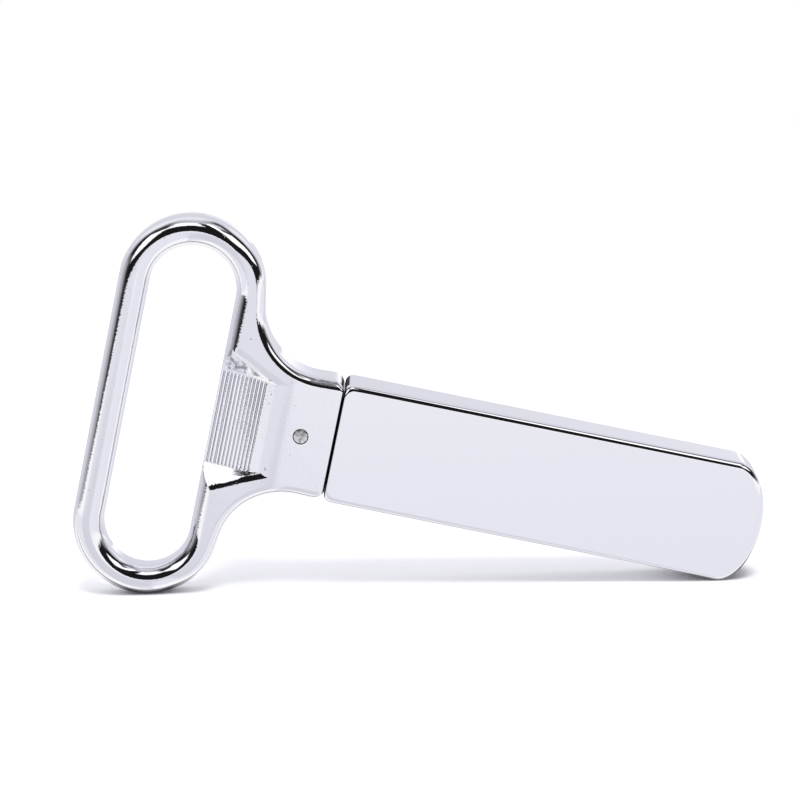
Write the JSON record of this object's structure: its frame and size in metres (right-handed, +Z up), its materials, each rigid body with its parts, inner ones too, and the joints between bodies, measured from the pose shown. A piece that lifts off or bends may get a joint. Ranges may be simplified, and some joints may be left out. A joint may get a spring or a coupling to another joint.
{
  "type": "two-prong cork puller",
  "caption": "Two-prong cork puller: chromed ring handle with serrated thumb ramps, spring-steel prongs on a cross pin, and a slide-off sheath.",
  "frame": {"origin": "on the floor, under the centre of the bounding box, with the puller standing on its thin edge as pictured", "axes": "+Z up; +X from the finger ring towards the sheath's tip, along the longest extent; +Y through the thickness, away from the pictured face"},
  "size_m": [0.1236, 0.0122, 0.0684],
  "materials": {
    "cast_chrome": "polished chrome plate on a zinc casting, with fine casting pits",
    "sheath_chrome": "mirror-polished chrome plate",
    "spring_steel": "ground spring steel",
    "pin_steel": "bare steel, dressed flush"
  },
  "bodies": {
    "sheath": {"sheath": "sheath_chrome"},
    "handle": {"handle": "cast_chrome", "neck_pin": "pin_steel"},
    "long_prong": {"long_prong": "spring_steel"},
    "short_prong": {"short_prong": "spring_steel"}
  },
  "joints": [
    {"name": "unsheathe", "type": "slide", "parent": "sheath", "child": "handle", "axis": [-0.9731, 0, 0.2304], "range_m": [0, 0.08]},
    {"name": "long_prong_flex", "type": "hinge", "parent": "handle", "child": "long_prong", "pos_m": [-0.02025, 0, 0.02867], "axis": [0, 1, 0], "range_deg": [0, 2.5], "stiffness_Nm_per_rad": 1},
    {"name": "short_prong_flex", "type": "hinge", "parent": "handle", "child": "short_prong", "pos_m": [-0.02025, 0, 0.02867], "axis": [0, -1, 0], "range_deg": [0, 2.5], "stiffness_Nm_per_rad": 1}
  ]
}
